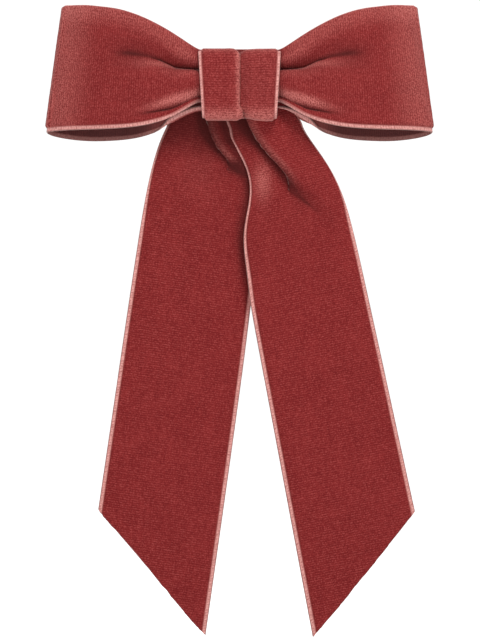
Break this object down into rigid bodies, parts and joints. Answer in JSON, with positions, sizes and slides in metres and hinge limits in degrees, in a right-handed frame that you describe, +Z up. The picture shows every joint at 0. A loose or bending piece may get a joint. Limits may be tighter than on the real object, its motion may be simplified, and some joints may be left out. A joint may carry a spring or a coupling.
{
  "type": "bow barrette",
  "caption": "Velvet ribbon bow with a wrapped knot and slant-cut tails, sewn to a sprung clasp that clamps a lock of hair.",
  "frame": {"origin": "middle of the clamp arm's outer face, which lies on the head", "axes": "+Z up along the hanging tails, +Y out of the clamp arm's face towards the head, +X to the right seen from the front"},
  "size_m": [0.1228, 0.0298, 0.1998],
  "materials": {
    "velvet": "dusty red velvet pile",
    "lining": "ribbed grosgrain",
    "thread": "twisted sewing thread",
    "nickel": "nickel plate",
    "spring_steel": "polished spring steel"
  },
  "bodies": {
    "bow": {"loop_ribbon": "velvet", "knot_band": "velvet", "left_tail_top": "velvet", "right_tail_top": "velvet", "gather_thread": "thread", "knot_seam_thread": "thread", "centre_lashing": "thread", "end_stitch_left_upper": "thread", "end_stitch_left_lower": "thread", "end_stitch_right_upper": "thread", "end_stitch_right_lower": "thread", "clip_lining": "lining", "base_plate": "nickel", "hinge_pin": "nickel", "catch_foot": "spring_steel", "catch_rivet": "nickel"},
    "arm": {"clamp_arm": "nickel"},
    "bar": {"tension_bar": "spring_steel"},
    "upper_prong": {"catch_prong_upper": "spring_steel"},
    "lower_prong": {"catch_prong_lower": "spring_steel"},
    "tails": {"left_tail": "velvet", "right_tail": "velvet"}
  },
  "joints": [
    {"name": "arm_hinge", "type": "hinge", "parent": "bow", "child": "arm", "pos_m": [-0.0385, 0.00035, 0], "axis": [0, 0, 1], "range_deg": [0, 100]},
    {"name": "bar_press", "type": "slide", "parent": "bow", "child": "bar", "axis": [0, -1, 0], "range_m": [0, 0.0008], "stiffness_N_per_m": 1500},
    {"name": "upper_prong_pinch", "type": "hinge", "parent": "bow", "child": "upper_prong", "pos_m": [0.0385, -0.002, 0.0017], "axis": [-1, 0, 0], "range_deg": [0, 8], "stiffness_Nm_per_rad": 0.02},
    {"name": "lower_prong_pinch", "type": "hinge", "parent": "bow", "child": "lower_prong", "pos_m": [0.0385, -0.002, -0.0017], "axis": [1, 0, 0], "range_deg": [0, 8], "stiffness_Nm_per_rad": 0.02},
    {"name": "tails_swing", "type": "hinge", "parent": "bow", "child": "tails", "pos_m": [0, -0.0122, -0.0128], "axis": [-1, 0, 0], "range_deg": [-10, 45]}
  ],
  "couplings": [
    {"joint": "lower_prong_pinch", "follows": "upper_prong_pinch", "ratio": 1}
  ]
}
